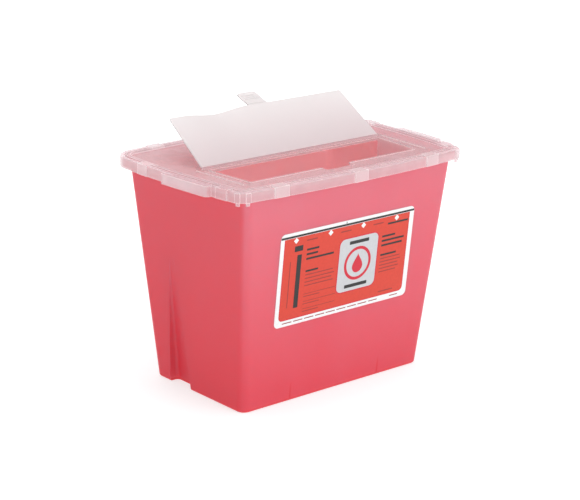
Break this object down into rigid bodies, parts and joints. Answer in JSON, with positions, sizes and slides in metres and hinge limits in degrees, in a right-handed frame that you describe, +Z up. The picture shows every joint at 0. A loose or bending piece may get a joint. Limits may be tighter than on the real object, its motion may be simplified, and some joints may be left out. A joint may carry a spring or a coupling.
{
  "type": "sharps container",
  "caption": "Tapered translucent bin for used needles and blades, with a press-fit clear lid, a top drop opening, a hinged access door and a folding latch tab.",
  "frame": {"origin": "middle of the footprint, on the surface that the tub stands on", "axes": "+X along the long side, +Y towards the rear long wall (the label is on -Y), +Z up"},
  "size_m": [0.3018, 0.2006, 0.2663],
  "materials": {
    "red_translucent": "semi-gloss translucent polypropylene, red",
    "clear_frosted": "semi-gloss natural polypropylene, nearly clear",
    "door_frosted": "satin frosted polypropylene sheet",
    "label_paper": "satin printed film label"
  },
  "bodies": {
    "container": {"container_tub": "red_translucent", "lid_frame": "clear_frosted", "door_hinge_strip": "clear_frosted", "front_label": "label_paper"},
    "door": {"access_door": "door_frosted", "tab_fold_strip": "door_frosted"},
    "tab": {"latch_tab": "door_frosted"}
  },
  "joints": [
    {"name": "door_hinge", "type": "hinge", "parent": "container", "child": "door", "pos_m": [0, -0.00197, 0.2217], "axis": [-1, 0, 0], "range_deg": [-146, 29]},
    {"name": "tab_fold", "type": "hinge", "parent": "door", "child": "tab", "pos_m": [0, 0.05266, 0.25855], "axis": [-1, 0, 0], "range_deg": [-103, 4]}
  ]
}
